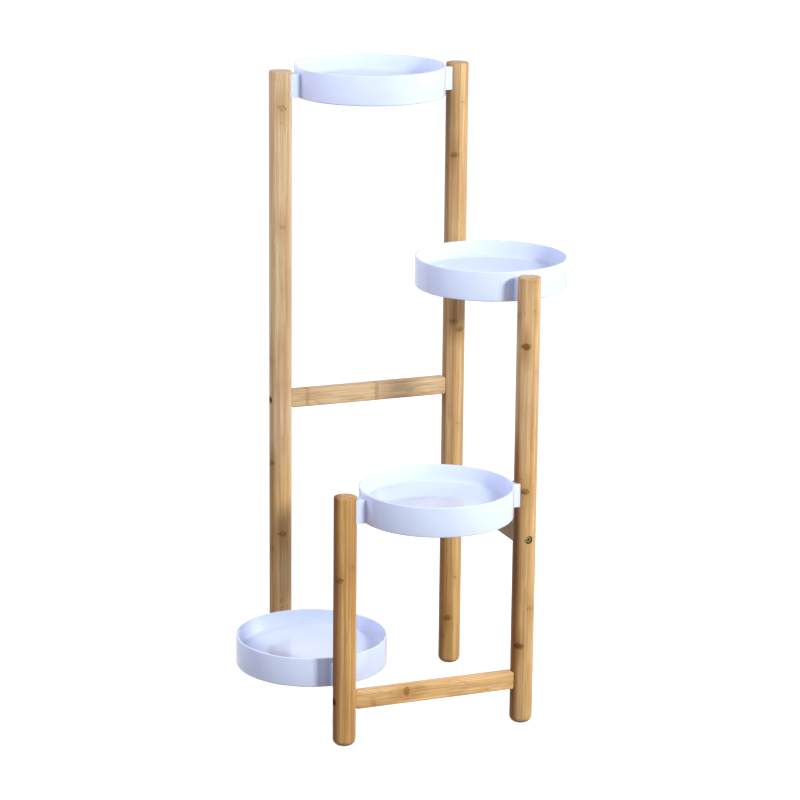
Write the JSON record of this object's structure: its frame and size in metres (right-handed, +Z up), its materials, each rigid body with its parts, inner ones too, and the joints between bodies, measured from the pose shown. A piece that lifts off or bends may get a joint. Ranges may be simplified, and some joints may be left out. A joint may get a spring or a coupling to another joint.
{
  "type": "tiered plant stand",
  "caption": "Tall corner plant stand: round bamboo legs rising like a spiral stair, bolted rails, and round white plastic trays held by lugs between the legs.",
  "frame": {"origin": "on the floor, at the centre of the square of legs, which is the centre of the bounding box's base", "axes": "+Z up; the two tall legs stand at the back (+Y), the middle leg at the front right (+X, -Y) and the short leg at the front left (-X, -Y)"},
  "size_m": [0.478, 0.478, 0.8975],
  "materials": {
    "leg_bamboo": "satin, clear lacquered laminated bamboo",
    "rail_bamboo": "satin, clear lacquered laminated bamboo",
    "tray_plastic": "glossy white moulded plastic",
    "bolt_brass": "yellow plated steel, satin",
    "insert_zinc": "bright zinc plated"
  },
  "bodies": {
    "root": {"leg_back_left": "leg_bamboo", "leg_back_right": "leg_bamboo", "leg_front_right": "leg_bamboo", "leg_front_left": "leg_bamboo", "rail_back": "rail_bamboo", "rail_right": "rail_bamboo", "rail_front": "rail_bamboo", "tray_top": "tray_plastic", "tray_upper": "tray_plastic", "tray_lower": "tray_plastic", "tray_bottom": "tray_plastic", "bolt_back_rail_left": "bolt_brass", "bolt_back_rail_right": "bolt_brass", "bolt_right_rail_back": "bolt_brass", "bolt_right_rail_front": "bolt_brass", "bolt_front_rail_left": "bolt_brass", "bolt_front_rail_right": "bolt_brass", "insert_back_rail_left": "insert_zinc", "insert_back_rail_right": "insert_zinc", "insert_right_rail_back": "insert_zinc", "insert_right_rail_front": "insert_zinc", "insert_front_rail_left": "insert_zinc", "insert_front_rail_right": "insert_zinc"}
  },
  "joints": []
}
